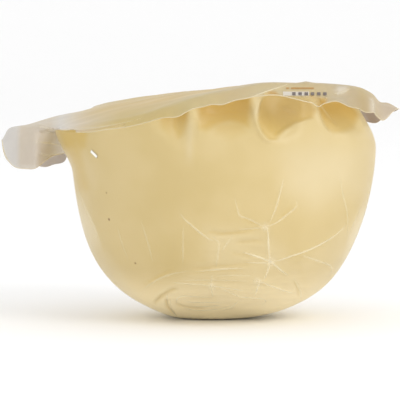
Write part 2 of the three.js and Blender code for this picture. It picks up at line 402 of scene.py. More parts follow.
VALLEYS = [
    (0.9, [(203, 232.5), (223, 234), (240, 232.7), (263, 229.5)]),
    (0.6, [(233, 243.5), (248, 242.2), (268, 242)]),
    (0.4, [(229, 252.5), (240, 255), (253, 258)]),
    (0.6, [(186, 270), (202.5, 268.7), (217.5, 267), (235, 265.8), (262, 264.7)]),
    (0.5, [(186, 275.6), (200, 273), (217.5, 271.3), (233.7, 271), (250, 272)]),
    (0.4, [(176, 269.5), (157, 277.5), (141, 287)]),
    (0.9, [(153, 306), (157, 301), (162.5, 296), (171, 291), (180, 289)]),
    (0.9, [(166.5, 297), (166.9, 301), (167.5, 306), (171, 310.6), (177, 316)]),
    (0.6, [(176, 298), (176.5, 304), (183, 307), (192, 308.8), (208, 309)]),
    (0.4, [(291, 280), (297, 288), (299, 299)]),
    (0.3, [(241, 217.5), (252, 223.5), (260, 227.8)]),
    (0.3, [(278, 219.5), (288, 211.5), (294, 205)]),
    (0.3, [(178, 282.3), (205, 282), (232, 282.6), (250, 283.3)]),
    (0.3, [(184, 299.7), (200, 300), (222, 300)]),
]
KNOTS = [((270.5, 261.5), 4.5), ((266, 227.5), 3.5), ((257, 281), 3), ((212, 286), 3)]
KNOT_MILKINESS = 0.45
CREASE_WIDTH = 2.0
CREASE_HEIGHT = 0.15
CREASE_RUNOUT = 0.15
VALLEY_WIDTH = 1.5
VALLEY_DEPTH = 0.6
VALLEY_PAINTED_SHADE = 0.6
milky = np.zeros(len(points))
for strength, corners in CREASES + RINGS:
    relief += CREASE_HEIGHT * strength * fold(spots, corners, CREASE_WIDTH, CREASE_RUNOUT)
for strength, corners in VALLEYS:
    line = strength * fold(spots, corners, VALLEY_WIDTH)
    relief -= VALLEY_DEPTH * line
    # painted shade along the valley, carried with the dents' amber
    shade_in_hollows = np.maximum(shade_in_hollows, VALLEY_PAINTED_SHADE * line)
for middle, size in KNOTS:
    away = np.linalg.norm(spots - middle, axis=1)
    milky = np.maximum(milky, KNOT_MILKINESS * np.exp(-((away / size) ** 2)))
print("creases", len(CREASES), "rings", len(RINGS), "valleys", len(VALLEYS))

# %% [markdown]
# ## The hidden sides
# The photo doesn't show the back, so it is finished like the front. To work there in the same way, a
# helper gives the points as they lie for someone who has walked round the object. The CAD has five
# hollows under the seal at the back; each is coloured amber with painted shade by one outline, seen
# from right before it, less towards its bottom. Two stars of creases are drawn from behind on the right
# and on the left, and fade out at the sides.

# %% Hidden sides
BACK_DENT = [(172, 92), (228, 92), (224, 112), (212, 130), (200, 136), (188, 130), (176, 112)]
BACK_DENTS = [(114, 0.9), (141, 0.8), (168, 0.75), (195, 0.65), (222, 0.55)]
BACK_DENT_EDGE = 6
BACK_DENT_FADE = (100, 130)
BACK_DENT_LOSS = 0.4
TURNED_AWAY = (-0.3, -0.05)
HIDDEN_CREASES = {
    130: [
        (1.0, [(204, 246), (206, 230), (203, 212), (206, 190)]),
        (0.9, [(204, 246), (222, 250), (246, 247), (270, 236), (290, 222)]),
        (0.9, [(204, 246), (188, 252), (168, 253), (146, 247)]),
        (0.8, [(204, 246), (214, 260), (226, 272), (238, 279)]),
        (0.7, [(204, 246), (198, 262), (190, 276), (186, 290)]),
        (0.6, [(203, 212), (222, 204), (240, 192), (252, 176)]),
        (0.5, [(203, 212), (186, 204), (170, 190), (160, 172)]),
        (0.6, [(246, 247), (256, 262), (258, 280)]),
        (0.5, [(150, 292), (176, 299), (206, 302), (236, 300), (258, 293)]),
        (0.35, [(168, 309), (190, 313), (214, 313), (236, 310)]),
        (0.4, [(290, 180), (296, 200), (294, 226), (286, 248)]),
        (0.4, [(130, 190), (134, 214), (142, 238)]),
    ],
    230: [
        (0.9, [(182, 236), (186, 218), (182, 198), (186, 178)]),
        (0.9, [(182, 236), (160, 244), (138, 243), (112, 232)]),
        (0.8, [(182, 236), (204, 246), (226, 262), (240, 276)]),
        (0.7, [(182, 236), (178, 256), (184, 276), (180, 294)]),
        (0.6, [(182, 236), (206, 230), (230, 216), (250, 196)]),
        (0.6, [(204, 246), (228, 244), (254, 234)]),
        (0.5, [(178, 256), (156, 266), (140, 280)]),
        (0.5, [(148, 296), (172, 303), (202, 305), (232, 300)]),
        (0.35, [(176, 310), (196, 313), (220, 312)]),
        (0.4, [(104, 180), (106, 206), (114, 230)]),
        (0.4, [(268, 190), (272, 214), (266, 240)]),
    ],
}
relief *= facing
shade_in_hollows *= facing
milky *= facing
hidden = 1 - ease(normals @ back, *TURNED_AWAY)


def walked(vectors, turn):
    """Points or normals as they lie for someone who has walked round by an angle in degrees."""
    return vectors @ np.array(Matrix.Rotation(math.radians(turn), 3, "Z"))


def from_behind(turn):
    """Where the points lie for someone at another side, and how far each faces that side only."""
    faces = ease(walked(normals, turn) @ back, *FACING) * hidden
    return in_picture(walked(points, turn)), faces


for turn, share in BACK_DENTS:
    there, faces = from_behind(turn)
    # amber with painted shade in each back hollow, less towards its bottom
    amber = share * (1 - BACK_DENT_LOSS * ease(there[:, 1], *BACK_DENT_FADE))
    shade_in_hollows = np.maximum(shade_in_hollows, amber * inside(there, BACK_DENT, BACK_DENT_EDGE) * faces)
for turn, lines in HIDDEN_CREASES.items():
    there, faces = from_behind(turn)
    for strength, corners in lines:
        relief += CREASE_HEIGHT * strength * fold(there, corners, CREASE_WIDTH, CREASE_RUNOUT) * faces
print("points on the hidden sides", int((hidden > 0.5).sum()))

# %% [markdown]
# ## Soft unevenness
# No cheese is a perfect bowl. Slow noise, the same on every run, moves its points by a fraction of a
# millimetre all round, except where it rests. The film's floor is crumpled in fine level wrinkles.

# %% Move the points of the skin
LUMP_SIZE = 22 * MM
LUMP_HEIGHT = 0.35
WRINKLE_LENGTH = 9 * MM
WRINKLE_FLATNESS = 7
WRINKLE_HEIGHT = 0.22
BACK_WRINKLES = 0.7
BACK_WRINKLES_END = (25 * MM, 50 * MM)
LIFT_FROM_REST = (1 * MM, 6 * MM)
CRUMPLED_EDGE = 12
CRUMPLED = [(150, 312), (165, 285), (205, 262), (206, 230), (262, 228), (300, 265), (310, 290), (280, 315)]
lumps = np.array([noise.noise(Vector(p) / LUMP_SIZE) for p in points])
stretched = points / (WRINKLE_LENGTH, WRINKLE_LENGTH, WRINKLE_LENGTH / WRINKLE_FLATNESS)
wrinkles = np.array([noise.noise(Vector(p)) for p in stretched])
crumpled = inside(spots, CRUMPLED, CRUMPLED_EDGE) * facing
low_behind = hidden * (1 - ease(points[:, 2], *BACK_WRINKLES_END))
relief += WRINKLE_HEIGHT * wrinkles * np.maximum(crumpled, BACK_WRINKLES * low_behind)
above_rest = ease(points[:, 2] - rest_plane, *LIFT_FROM_REST)
height = (relief + LUMP_HEIGHT * lumps) * above_rest
points = points + normals * (height * MM)[:, None]
move(skin, points)
print("relief from", round(height.min(), 2), "to", round(height.max(), 2), "mm")

# %% [markdown]
# ## The cheese inside
# The cheese is a copy of the skin, moved in by the gap between the two. It keeps how far each point
# is drawn in and its painted shade, because the cheese is amber there and painted darker in the shade.

# %% Cheese
CLING = 0.2
select_only(skin)
bpy.ops.object.duplicate()
cheese = bpy.context.object
cheese.name = "cheese"
cheese.data.name = "cheese"
normals = read(skin, "normal")
move(cheese, points - normals * CLING * MM)
mark(cheese, "drawn_in", shade_in_hollows)
print("cheese", triangles(cheese), "triangles")

# %% [markdown]
# ## Veils
# The film is milky where it stands off in a wedge at each side, and thinly milky in larger patches. A
# broad patch on the right shoulder and the streaks along two rims are painted highlights instead. Film
# and cheese nearly touch, so these veils are painted on the cheese, right under the film: a wide haze
# in the film itself would show a hard line where it starts.

# %% Veils
VEILS_AND_SHEEN = [
    # strength, outline, soft edge
    (0.2, [(296, 262), (320, 250), (345, 226), (354, 234), (347, 262), (320, 294), (302, 302),
           (304, 285)], 8),
    (0.2, [(92, 256), (104, 252), (120, 272), (142, 300), (118, 298)], 6),
    # painted highlight: the broad sheen on the right shoulder
    (0.35, [(285, 152), (318, 142), (360, 154), (358, 186), (314, 204), (288, 190)], 22),
    (0.25, CRUMPLED, CRUMPLED_EDGE),
]
WEDGES = [
    (0.45, [(70, 184), (77.5, 188), (87.5, 211.7), (95.8, 230), (101.7, 248), (105, 264), (96, 270),
            (84, 250), (74, 220)], 3),
    (0.45, [(374, 190), (366, 197), (356, 219), (348, 236), (342, 258), (333, 273), (318, 290),
            (330, 292), (350, 274), (366, 240), (374, 210)], 5),
]
# painted highlights along the tops of two rims
RIM_HIGHLIGHTS = [
    (0.22, [(190, 112), (190, 132), (189.5, 150), (190.5, 172)]),
    (0.3, [(258, 84), (256.5, 98), (256, 110), (257, 126)]),
]
WEDGE_FADE = 40
WEDGE_TURN = (-0.6, 0.1)
RIM_HIGHLIGHT_WIDTH = 4
RIM_HIGHLIGHT_RUNOUT = 0.4
BACK_VEIL = 0.24
VEILED_LUMPS = (-0.15, 0.5)
veil = BACK_VEIL * ease(lumps, *VEILED_LUMPS) * hidden
for share, outline, ramp in VEILS_AND_SHEEN:
    veil = np.maximum(veil, share * inside(spots, outline, ramp) * facing)
for share, outline, ramp in WEDGES:
    top, bottom = np.min(outline, axis=0)[1], np.max(outline, axis=0)[1]
    faded = ease(spots[:, 1], top, top + WEDGE_FADE) * (1 - ease(spots[:, 1], bottom - WEDGE_FADE, bottom))
    round_side = ease(normals @ back, *WEDGE_TURN)
    veil = np.maximum(veil, share * faded * round_side * inside(spots, outline, ramp))
for share, corners in RIM_HIGHLIGHTS:
    veil = np.maximum(veil, share * fold(spots, corners, RIM_HIGHLIGHT_WIDTH, RIM_HIGHLIGHT_RUNOUT) * facing)
mark(cheese, "veil", veil)
mark(skin, "milky", milky)
print("points under a veil", int((veil > 0.1).sum()))

# %% [markdown]
# ## Bright pleats
# A sharp crease in film is a doubled fold that catches the light. A thin strip of film follows each
# crease: a line of sight through each spot of the picture finds the skin, and the strip is built
# there. In section it is a flat lens, milky in its middle and clear at both sides, so it has no hard
# edge. The painted glint on the left, a white dash on a crease, is a short thick one.

# %% Pleats
STRIP_STEP = 1.5
PLEAT_WIDTH = 0.54
PLEAT_RISE = 0.06
GLINT_WIDTH = 0.9
GLINT_RISE = 0.2
MILKINESS = 0.6
SECTION = [(-1, 0, 0), (-0.5, 0.8, 0.6), (0, 1, 1), (0.5, 0.8, 0.6), (1, 0, 0), (0, -1, 0)]
WEDGE_EDGES = [
    (0.4, [(77.5, 188), (82, 199), (87.5, 211.7), (95.8, 230), (101.7, 248)]),
    (0.35, [(367, 194), (358, 214), (351, 230), (347, 243)]),
]
# painted glint: a short white dash on a crease
GLINT = [(4, [(91, 151), (94, 154), (97, 157)])]
skin_tree = BVHTree.FromObject(skin, bpy.context.evaluated_depsgraph_get())


def on_surface(tree, across, down, turn=0):
    """Where a line of sight through a spot of the picture meets a surface, and the normal there."""
    right = np.array((1, 0, 0)) * (across - PICTURE / 2) / SPREAD
    above = upward * (PICTURE / 2 - down) / SPREAD
    way = Matrix.Rotation(math.radians(turn), 3, "Z")
    sight = Vector(right + above - back).normalized()
    return tree.ray_cast(way @ Vector(eye), way @ sight)[:2]


def strips(name, tree, views, width, rise, point=0.5):
    """Thin strips of film on a surface, along lines seen from each angle; a point of 0 gives blunt ends."""
    places, faces, shares = [], [], []
    ring = len(SECTION)
    for turn, strength, corners in [(turn, *line) for turn, lines in views.items() for line in lines]:
        found = [on_surface(tree, *spot, turn) for spot in smooth_line(corners, STRIP_STEP)]
        laid = [(place, normal) for place, normal in found if place]
        first = len(places)
        for i, (place, normal) in enumerate(laid):
            ahead = laid[min(i + 1, len(laid) - 1)][0] - laid[max(i - 1, 0)][0]
            side = normal.cross(ahead).normalized()
            taper = math.sin(math.pi * (i + 0.5) / len(laid)) ** point
            for across, up, share in SECTION:
                places.append(place + (side * across * width * taper + normal * up * rise) * MM)
                shares.append(share * strength * taper * MILKINESS)
        for corner in range(first, len(places) - ring):
            beside = corner + 1 if (corner - first) % ring < ring - 1 else corner + 1 - ring
            faces.append((corner, beside, beside + ring, corner + ring))
        faces.append(tuple(range(first, first + ring)))
        faces.append(tuple(range(len(places) - ring, len(places))))
    mesh = bpy.data.meshes.new(name)
    mesh.from_pydata(places, [], faces)
    made = bpy.data.objects.new(name, mesh)
    bpy.context.scene.collection.objects.link(made)
    select_only(made)
    bpy.ops.object.mode_set(mode="EDIT")
    bpy.ops.mesh.select_all(action="SELECT")
    bpy.ops.mesh.normals_make_consistent(inside=False)
    bpy.ops.object.mode_set(mode="OBJECT")
    bpy.ops.object.shade_smooth()
    mark(made, "milky", np.array(shares))
    return made


PLEATS = {0: CREASES + RINGS + WEDGE_EDGES, **HIDDEN_CREASES}
pleats = strips("film_pleats", skin_tree, PLEATS, PLEAT_WIDTH, PLEAT_RISE)
glint = strips("white_glint", skin_tree, {0: GLINT}, GLINT_WIDTH, GLINT_RISE, point=0)
print("pleats", triangles(pleats), "triangles, fleck", triangles(glint))

# %% [markdown]
# ## Lid and margin
# The lid and the margin outside the seal are one sheet. The CAD makes it thicker than film is, so a
# copy keeps only its upper face and is refined. Its folds are strokes again, those on its top drawn
# as seen from above, and slow noise ripples the rest of the sheet.

# %% Lid film
LID_FOLDS = [
    # height in mm, width, corners
    (0.5, 1.6, [(34, 125.5), (45, 127.7), (53, 129.3), (60, 131)]),
    (0.5, 1.4, [(33, 141.5), (45, 142.5), (52, 144), (61, 144.5)]),
    (0.5, 1.4, [(36, 152), (45, 155), (52, 155), (61, 153)]),
    (0.4, 2.0, [(25, 125), (18.5, 138), (17, 150), (18.5, 171)]),
    (-0.4, 2.5, [(30, 146), (42, 149), (60, 149)]),
    (0.6, 1.8, [(371, 97), (373, 104), (373, 112)]),
    (0.7, 3.5, [(333, 92), (341, 90), (350, 88)]),
    (-0.4, 2.5, [(330, 97), (342, 96), (356, 92)]),
    (0.4, 1.6, [(246, 99), (262, 93), (281, 86.4), (290, 83)]),
    (-0.5, 2.5, [(312, 95), (318, 100), (322, 107)]),
]
TOP_FOLDS = [
    # strength and corners in mm to the right and to the back, seen from above
    (0.7, [(56, -6), (55, 16), (46, 32), (30, 42), (8, 46), (-14, 43), (-32, 33), (-42, 18), (-45, 2)]),
    (1.0, [(-34, -8), (-14, 2), (8, 4), (26, 14), (38, 27)]),
    (0.8, [(-24, 30), (-8, 18), (8, 4), (16, -14)]),
    (0.6, [(8, 4), (28, -4), (46, -6)]),
    (0.6, [(52, 14), (40, 10), (30, 12)]),
    (0.5, [(22, 43), (18, 32), (20, 22)]),
    (0.5, [(-6, 44), (-6, 33), (-12, 24)]),
    (0.5, [(-38, 24), (-28, 18), (-20, 18)]),
]
TOP_FOLD_WIDTH = 0.9
TOP_FOLD_HEIGHT = 0.22
RIPPLE_SIZE = 13 * MM
RIPPLE_HEIGHT = 0.35
LID_FACING = (0.0, 0.2)
LEVEL = (0.7, 0.9)
lid = copy_of_node("pack_film", "lid_film")
pick(lid, "FACE", [face.normal.z <= 0 for face in lid.data.polygons])
bpy.ops.mesh.delete(type="FACE")
bpy.ops.object.mode_set(mode="OBJECT")
apply_modifier(lid, "SUBSURF", levels=2, render_levels=2)

points = read(lid)
normals = read(lid, "normal")
spots = in_picture(points)
facing = ease(normals @ back, *LID_FACING)
height = RIPPLE_HEIGHT * np.array([noise.noise(Vector(p) / RIPPLE_SIZE) for p in points])
for rise, width, corners in LID_FOLDS:
    height += rise * facing * fold(spots, corners, width)
level = ease(normals[:, 2], *LEVEL)
plan = points[:, :2] / MM
creased = level * sum(share * fold(plan, corners, TOP_FOLD_WIDTH) for share, corners in TOP_FOLDS)
height += TOP_FOLD_HEIGHT * creased
points = points + normals * (height * MM)[:, None]
print("lid folds from", round(height.min(), 2), "to", round(height.max(), 2), "mm")

# %% [markdown]
# ## Pulled corners of the lid
# The tab on the left is bent down with its front leaf tucked back, and elsewhere the loose margin
# hangs a little lower or higher than a smooth sheet would. Each pull moves the sheet around one spot,
# less and less with the distance, on the leaf that faces the viewer, on the one behind it or on both.

# %% Pulled corners
TUCK = 5 * MM
TUCK_BACK = 22 * MM
TAB_FRONT = (2 * MM, 8 * MM)
TAB_LOW = (129, 134)
TUCK_START = (50, 62)
TUCK_BACK_START = (34, 62)
TUCK_END = (72, 76)
PULLS = [
    # middle, reach, shift to the right and down, 1 for the front leaf, -1 for the back one, 0 for both
    ((13, 131), 8, (-2.5, -2), 0),
    ((380, 99.5), 6, (-1, 4), 0),
    ((306, 83), 4, (0, -1.2), 0),
    ((60, 150), 8, (1, 7), 1),
    ((35, 164), 9, (0, 3.5), 1),
    ((62, 158), 8, (2, 2.5), -1),
    ((45, 164), 9, (0, 2), -1),
    ((383, 110.5), 8, (0, 9), 1),
    ((362, 106), 12, (0, 1.8), 1),
    ((336, 106), 9, (0, -3), 1),
    ((365, 110), 7, (0, 3), 1),
    ((318, 104.5), 4, (0, 2.5), 1),
    ((90, 131), 14, (0, 1.8), 1),
    ((178, 114), 11, (0, 3.8), 1),
    ((203, 106), 8, (0, 1.4), 1),
    ((222, 102), 9, (0, 2.8), 1),
    ((377, 119), 6, (0, 3), -1),
    ((364, 122.5), 6, (1, -2.5), -1),
    ((391, 113.5), 6, (0, -2.5), -1),
]
tab_leaf = ease(-points[:, 1], *TAB_FRONT) * ease(spots[:, 1], *TAB_LOW)
tab_leaf *= 1 - ease(spots[:, 0], *TUCK_END)
points[:, 0] += TUCK * tab_leaf * ease(spots[:, 0], *TUCK_START)
receding = tab_leaf * ease(spots[:, 0], *TUCK_BACK_START)
points[:, 1] += TUCK_BACK * receding
for middle, reach, (right, lower), leaf in PULLS:
    away = np.linalg.norm(spots - middle, axis=1)
    bell = np.exp(-((away / reach) ** 2)) * (ease(leaf * (normals @ back), *LID_FACING) if leaf else 1)
    points += bell[:, None] * (right * np.array((1, 0, 0)) - lower * upward) / PIXELS_PER_METRE
move(lid, points)
print("pulls", len(PULLS), "on a sheet of", triangles(lid), "triangles")

# %% [markdown]
# ## Patches on the lid
# The sheet isn't the same all over: it is pale where it is creased, and clear where it lies flat on the
# cheese. Painted light is added: pale patches are painted highlights on the flap, the tucked leaf is
# painted paler where it turns from the light, and tan patches are painted shade where the film doubles.
# Each point keeps its share of the three.

# %% Patches on the lid
# painted highlights: a glint on the flap and a bright fold line
HIGHLIGHT_PATCHES = [
    [(334, 91), (338, 87.5), (346, 87), (345, 92), (338, 94.5)],
    [(370, 98), (374, 98), (374.5, 112), (370, 111)],
]
# painted shade where the film doubles over
TAN_SHADE_PATCHES = [
    [(309, 95), (326, 100), (321, 109), (315, 106)],
    [(268, 91), (276, 91), (280, 97), (268, 97)],
]
CLEAR_PATCHES = [
    [(58, 129.5), (75, 130), (100, 128), (125, 123.5), (125, 126.5), (110, 130.5), (91, 133), (75, 132.5),
     (59, 131)],
    [(264, 92), (285, 95), (300, 96.5), (314, 97), (327, 98), (327, 106), (320, 109), (304, 104), (289, 102),
     (264, 98)],
]
HIGHLIGHT_SHARE, TUCK_PAINTED_LIGHT, PALE_CREASE = 0.4, 0.85, 0.45


def patches(outlines, ramp):
    return sum(inside(spots, outline, ramp) for outline in outlines) * facing


# painted light on the tucked leaf, which turns away from the lamps
pale = np.maximum(HIGHLIGHT_SHARE * patches(HIGHLIGHT_PATCHES, 3), TUCK_PAINTED_LIGHT * receding)
pale = np.maximum(pale, PALE_CREASE * creased)
tan = patches(TAN_SHADE_PATCHES, 2)
clear = patches(CLEAR_PATCHES, 1.5)
for name, share in [("pale", pale), ("tan", tan), ("clear", clear)]:
    mark(lid, name, share)
    print(name, "points", int((share > 0.3).sum()))

# %% [markdown]
# ## Cut edge and thickness
# The cut edge of a clear film shows as a pale line. The open edge of the sheet is separated and
# becomes a curve with a round bevel. Strips like those of the pleats follow its sharpest folds. Then
# the sheet itself gets a film's thickness with Solidify. Its inner face takes a second material,
# because it is in the shade of its own fold.

# %% Cut edge and thickness
FILM_THICKNESS = 0.2 * MM
EDGE_RADIUS = 0.19 * MM
select_only(lid)
bpy.ops.object.mode_set(mode="EDIT")
bpy.ops.mesh.select_mode(type="EDGE")
bpy.ops.mesh.select_all(action="DESELECT")
bpy.ops.mesh.select_non_manifold(
    extend=False, use_wire=False, use_multi_face=False, use_non_contiguous=False, use_verts=False
)
bpy.ops.mesh.duplicate()
bpy.ops.mesh.separate(type="SELECTED")
bpy.ops.object.mode_set(mode="OBJECT")
cut_edge = next(o for o in bpy.context.selected_objects if o is not lid)
cut_edge.name = "film_edge"
select_only(cut_edge)
bpy.ops.object.convert(target="CURVE")
cut_edge.data.bevel_depth = EDGE_RADIUS
cut_edge.data.bevel_resolution = 1
bpy.ops.object.convert(target="MESH")
bpy.ops.object.shade_smooth()

SEAM_WIDTH = 0.4
SEAM_RISE = 0.06
SEAMS = [
    (0.9, [(59, 128.8), (75, 129.2), (100, 127), (112, 125), (125, 122.5), (142, 118)]),
    (0.9, [(35, 142), (45, 142.5), (52, 144), (60, 144.5)]),
    (0.7, [(38, 152.7), (45, 155), (52, 155), (60, 153)]),
    (0.7, [(36, 125.8), (45, 127.7), (53, 129.3), (59, 130.5)]),
    (0.8, [(372, 98), (373, 104), (373.5, 111)]),
    (1.0, [(247, 98.5), (262, 93), (281, 86.6), (288, 84)]),
    (0.6, [(333, 93), (339, 93.5), (346, 91), (351, 87)]),
]
lid_tree = BVHTree.FromObject(lid, bpy.context.evaluated_depsgraph_get())
seams = strips("film_seams", lid_tree, {0: SEAMS}, SEAM_WIDTH, SEAM_RISE)

lid.data.materials.append(None)
lid.data.materials.append(None)
apply_modifier(lid, "SOLIDIFY", thickness=FILM_THICKNESS, offset=-1, material_offset=1, material_offset_rim=0)
bpy.ops.object.shade_smooth_by_angle(angle=math.radians(50))
print("lid with thickness", triangles(lid), "triangles, edge", triangles(cut_edge), "seams", triangles(seams))

# %% [markdown]
# ## Print
# The pack has a little print on the flap and on the lip. It is kept as plain fields of colour: each
# is a small grid, laid on the film by lines of sight, with the thickness of ink.

# %% Print
INK = 0.05 * MM
ORANGE_BARS = [(286, 87.7, 289, 89), (291, 87.6, 314, 89.1)]
PALE_STRIP = [(283, 91.8, 309, 95.8)]
DARK_BARS = [(292 + 6.2 * i, 92.7, 295.4 + 6.2 * i, 95.7) for i in range(6)]
LIFT = 0.06 * MM
LIFT_OVER_STRIP = 0.2 * MM
COLUMN_WIDTH = 1.5
ROW_HEIGHT = 1.0


def printed(name, fields, lift):
    """Thin plates on the lid film, each over a rectangle of the picture: left, top, right, bottom."""
    plates = []
    for left, top, right, bottom in fields:
        columns = max(2, int((right - left) / COLUMN_WIDTH))
        rows = max(2, int((bottom - top) / ROW_HEIGHT))
        bpy.ops.mesh.primitive_grid_add(x_subdivisions=columns, y_subdivisions=rows, size=1)
        plate = bpy.context.object
        for vertex in plate.data.vertices:
            across = left + (vertex.co.x + 0.5) * (right - left)
            down = top + (0.5 - vertex.co.y) * (bottom - top)
            place, normal = on_surface(lid_tree, across, down)
            vertex.co = place + normal * math.copysign(lift, normal.dot(Vector(back)))
        apply_modifier(plate, "SOLIDIFY", thickness=INK, offset=1)
        plates.append(plate)
    select_only(plates[0])
    for plate in plates:
        plate.select_set(True)
    if len(plates) > 1:
        bpy.ops.object.join()
    plates[0].name = name
    plates[0].data.name = name
    bpy.ops.object.shade_smooth_by_angle(angle=math.radians(40))
    return plates[0]


orange_print = printed("orange_print", ORANGE_BARS, LIFT)
strip_print = printed("pale_strip", PALE_STRIP, LIFT)
dark_print = printed("dark_print", DARK_BARS, LIFT_OVER_STRIP)
print("print", [triangles(p) for p in (orange_print, strip_print, dark_print)], "triangles")

# %% [markdown]
# ## Finishes
# Shader maths reads best as plain expressions, so one small class wraps a socket and lets Python's
# operators add the Math nodes. Every other node comes from one method.

# %% Shader helpers
class Value:
    """An output of a node that Python's operators can work on."""

    def __init__(self, finish, socket):
        self.finish = finish
        self.socket = socket

    def math(self, operation, first, second):
        return self.finish.node("ShaderNodeMath", {"operation": operation}, {0: first, 1: second})

    def __add__(self, other):
        return self.math("ADD", self, other)

    def __sub__(self, other):
        return self.math("SUBTRACT", self, other)

    def __rsub__(self, other):
        return self.math("SUBTRACT", other, self)

    def __mul__(self, other):
        return self.math("MULTIPLY", self, other)

    def __truediv__(self, other):
        return self.math("DIVIDE", self, other)

    def __pow__(self, other):
        return self.math("POWER", self, other)

    __radd__ = __add__
    __rmul__ = __mul__


class Finish:
    """A new material and the one method that adds a node to it."""

    def __init__(self, name):
        self.material = bpy.data.materials.new(name)
        self.material.use_nodes = True
        self.tree = self.material.node_tree
        self.tree.nodes.clear()

    def node(self, kind, settings=None, sockets=None, out=0):
        made = self.tree.nodes.new(kind)
        for key, value in (settings or {}).items():
            if key == "stops":
                ramp = made.color_ramp
                while len(ramp.elements) < len(value):
                    ramp.elements.new(0.5)
                for element, (position, tone) in zip(ramp.elements, value):
                    element.position = position
                    element.color = tone
            else:
                setattr(made, key, value)
        for key, value in (sockets or {}).items():
            if isinstance(value, Value):
                self.tree.links.new(value.socket, made.inputs[key])
            else:
                made.inputs[key].default_value = value
        return Value(self, made.outputs[out])

    def blend(self, share, first, second):
        """A colour between two colours."""
        return self.node("ShaderNodeMix", {"data_type": "RGBA"}, {0: share, 6: first, 7: second}, out=2)

    def marked(self, name):
        """The number that a mesh stores at each point under a name."""
        return self.node("ShaderNodeAttribute", {"attribute_name": name}, out=2)

    def step(self, value, start, end):
        """0 before start, 1 after end, smooth between."""
        limits = {"Value": value, "From Min": start, "From Max": end}
        return self.node("ShaderNodeMapRange", {"interpolation_type": "SMOOTHSTEP"}, limits)

    def end(self, shader):
        surface = self.tree.nodes.new("ShaderNodeOutputMaterial")
        self.tree.links.new(shader.socket, surface.inputs["Surface"])

    def wear(self, *pieces):
        for piece in pieces:
            piece.data.materials.clear()
            piece.data.materials.append(self.material)


def colour(red, green, blue):
    """A colour as shaders want it, from the 0 to 255 values of a picture."""
    def linear(c):
        c /= 255
        return c / 12.92 if c <= 0.04045 else ((c + 0.055) / 1.055) ** 2.4
    return (linear(red), linear(green), linear(blue), 1)


print("middle grey is", [round(c, 3) for c in colour(128, 128, 128)])

# %% [markdown]
# ## Cheese finish
# Smoked scamorza is straw yellow, with paler and darker clouds, and has a few brown specks of smoke.
# Three of them have a set place, found by a line of sight. Where it is drawn in it is amber, partly its
# own tone and partly painted shade, deepest as painted shadow under the seal; the valleys are painted
# darker as shade, and the bottom is painted paler as light. The veils lie over all this, some of them
# painted highlights, and a fine grain makes the gloss uneven.

# %% Cheese finish
SPECKS = [(108.6, 219.6, 0.75), (135, 263.5, 0.6), (106, 193, 0.5)]
DARK_STRAW, PALE_STRAW, LIT_LOW_STRAW = colour(195, 172, 114), colour(202, 180, 126), colour(250, 233, 190)
AMBER, SEAL_SHADOW_AMBER = colour(191, 158, 62), colour(178, 138, 42)
FINE_SPECK, SMOKE_SPECK = colour(138, 102, 50), colour(128, 92, 42)
MILK_AND_SHEEN = colour(226, 213, 181)
made = Finish("smoked_cheese")
place = made.node("ShaderNodeTexCoord", out=3)
clouds = made.node("ShaderNodeTexNoise", {}, {"Vector": place, "Scale": 45.0, "Detail": 3.0})
grain = made.node("ShaderNodeTexNoise", {}, {"Vector": place, "Scale": 400.0, "Detail": 2.0})
from_speck = made.node("ShaderNodeTexVoronoi", {}, {"Vector": place, "Scale": 60.0})
hollow_shade_mask = made.marked("drawn_in")
straw = made.blend(made.step(clouds, 0.3, 0.7), DARK_STRAW, PALE_STRAW)
up = made.node("ShaderNodeSeparateXYZ", {}, {0: place}, out=2)
# painted light: paler towards the bottom, where less light falls
straw = made.blend(1.0 - made.step(up, 2 * MM, 22 * MM), straw, LIT_LOW_STRAW)
speck = (1.0 - made.step(from_speck, 0.02, 0.04)) * made.step(clouds, 0.5, 0.6)
specked = made.blend(speck * 0.5, straw, FINE_SPECK)
for across, down, radius in SPECKS:
    middle = on_surface(skin_tree, across, down)[0]
    away = made.node("ShaderNodeVectorMath", {"operation": "DISTANCE"}, {0: place, 1: middle}, out=1)
    specked = made.blend(1.0 - made.step(away, 0.4 * radius * MM, radius * MM), specked, SMOKE_SPECK)
# painted shadow under the seal: deeper amber near the top of the dents
shaded_amber = made.blend(made.step(up, 66 * MM, 78 * MM), AMBER, SEAL_SHADOW_AMBER)
# amber in the hollows: partly the cheese's own tone, partly painted shade
amber = made.blend(hollow_shade_mask, specked, shaded_amber)
veil = made.marked("veil")
# milky film and painted highlights laid over the cheese
veiled_and_lit = made.blend(veil, amber, MILK_AND_SHEEN)
bump = made.node("ShaderNodeBump", {}, {"Strength": 0.15, "Distance": 0.0003, "Height": grain})
made.end(made.node(
    "ShaderNodeBsdfPrincipled",
    {},
    {"Base Color": veiled_and_lit, "Roughness": 0.45 + 0.1 * clouds, "Normal": bump,
     "Specular IOR Level": 0.35, "Coat Weight": 0.35, "Coat Roughness": 0.3},
))
made.wear(cheese)
print("cheese finish", len(made.tree.nodes), "nodes")

# %% [markdown]
# ## Film finishes
# Film is a mix of clear and hazy. The haze grows at a grazing angle, as it does on real film, and at
# points marked as milky; points marked as clear have less of it. The lid's tone changes along its
# length, because the cheese shows through its middle and not through its ends, and a round field in
# its middle is straw like the cheese below. Film passes on the light that it scatters, so it throws
# no shadow on the cheese.

